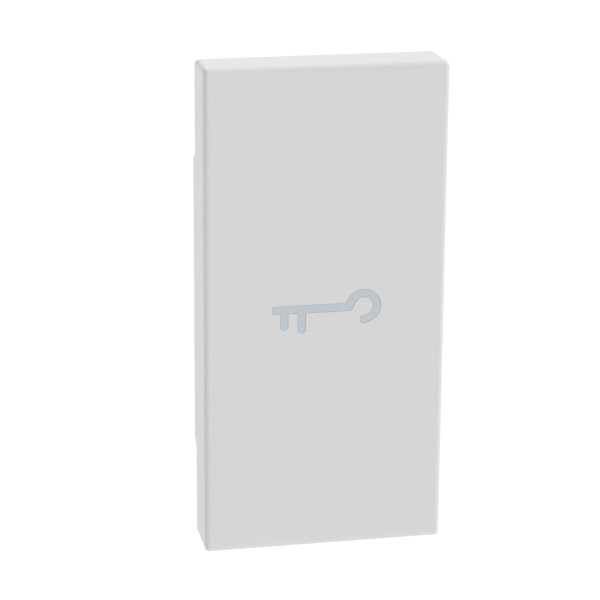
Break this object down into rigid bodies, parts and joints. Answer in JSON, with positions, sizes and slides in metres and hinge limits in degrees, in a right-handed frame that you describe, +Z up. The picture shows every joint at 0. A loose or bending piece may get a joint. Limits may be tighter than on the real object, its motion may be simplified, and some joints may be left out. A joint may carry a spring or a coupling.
{
  "type": "smart dimmer switch",
  "caption": "Slim wireless dimmer push with a tall flat white key, a small translucent key sign and a snap-in insert with a battery door at the back.",
  "frame": {"origin": "middle of the seat, the plane where the flange's rear face lies on the support frame", "axes": "X to the right seen from the room, Y into the wall (the key faces -Y), Z up along the key"},
  "size_m": [0.0222, 0.0129, 0.045],
  "materials": {
    "cover_white": "fine matte moulded",
    "symbol_blue": "translucent, pale blue",
    "guide_clear": "clear, polished",
    "carrier_white": "moulded",
    "spring_steel": "drawn wire",
    "frame_grey": "moulded, light grey",
    "board_green": "solder mask",
    "switch_black": "moulded",
    "tin_sheet": "tinned sheet",
    "plunger_white": "moulded",
    "dome_rubber": "silicone",
    "lamp_white": "lamp body with a pale lens",
    "chip_black": "moulded",
    "ceramic_tan": "fired, matte",
    "button_grey": "moulded",
    "cell_steel": "bright nickel",
    "contact_gold": "gold-plated sheet",
    "screw_steel": "zinc-plated"
  },
  "bodies": {
    "insert": {"upper_return_spring": "spring_steel", "lower_return_spring": "spring_steel", "front_frame": "frame_grey", "circuit_board": "board_green", "upper_switch_base": "switch_black", "lower_switch_base": "switch_black", "upper_switch_cover": "tin_sheet", "lower_switch_cover": "tin_sheet", "upper_switch_dome": "dome_rubber", "lower_switch_dome": "dome_rubber", "switch_terminals": "tin_sheet", "status_light": "lamp_white", "radio_board": "board_green", "radio_shield": "tin_sheet", "controller_chip": "chip_black", "crystal": "tin_sheet", "capacitors_and_resistors": "ceramic_tan", "pairing_switch": "switch_black", "coin_cell": "cell_steel", "negative_contact": "contact_gold", "positive_contact": "contact_gold", "rear_housing": "frame_grey", "case_screws": "screw_steel"},
    "key": {"key_cover": "cover_white", "key_symbol": "symbol_blue", "light_guide": "guide_clear", "key_carrier": "carrier_white"},
    "stabiliser": {"stabiliser_wire": "spring_steel"},
    "upper_plunger": {"upper_switch_plunger": "plunger_white"},
    "lower_plunger": {"lower_switch_plunger": "plunger_white"},
    "pairing_push": {"pairing_button": "button_grey"},
    "pairing_pin": {"pairing_plunger": "plunger_white"},
    "door": {"battery_door": "frame_grey"}
  },
  "joints": [
    {"name": "key_press", "type": "slide", "parent": "insert", "child": "key", "axis": [0, 1, 0], "range_m": [0, 0.0008], "stiffness_N_per_m": 1200, "springref_m": -0.001, "deforming": ["upper_return_spring", "lower_return_spring", "upper_switch_dome", "lower_switch_dome"]},
    {"name": "upper_plunger_press", "type": "slide", "parent": "insert", "child": "upper_plunger", "axis": [0, 1, 0], "range_m": [0, 0.0008]},
    {"name": "lower_plunger_press", "type": "slide", "parent": "insert", "child": "lower_plunger", "axis": [0, 1, 0], "range_m": [0, 0.0008]},
    {"name": "stabiliser_swing", "type": "hinge", "parent": "insert", "child": "stabiliser", "pos_m": [-0.0068, -0.0041, 0], "axis": [0, 0, 1], "range_deg": [0, 5.73]},
    {"name": "pairing_press", "type": "slide", "parent": "insert", "child": "pairing_push", "axis": [0, -1, 0], "range_m": [0, 0.0003], "stiffness_N_per_m": 2500, "springref_m": -0.0003},
    {"name": "pairing_pin_press", "type": "slide", "parent": "insert", "child": "pairing_pin", "axis": [0, -1, 0], "range_m": [0, 0.0003]},
    {"name": "door_turn", "type": "hinge", "parent": "insert", "child": "door", "pos_m": [0, 0.0035, -0.009], "axis": [0, 1, 0], "range_deg": [0, 50]}
  ],
  "couplings": [
    {"joint": "upper_plunger_press", "follows": "key_press", "ratio": 1},
    {"joint": "lower_plunger_press", "follows": "key_press", "ratio": 1},
    {"joint": "stabiliser_swing", "follows": "key_press", "rad_per_m": 125.05},
    {"joint": "pairing_pin_press", "follows": "pairing_press", "ratio": 1}
  ]
}
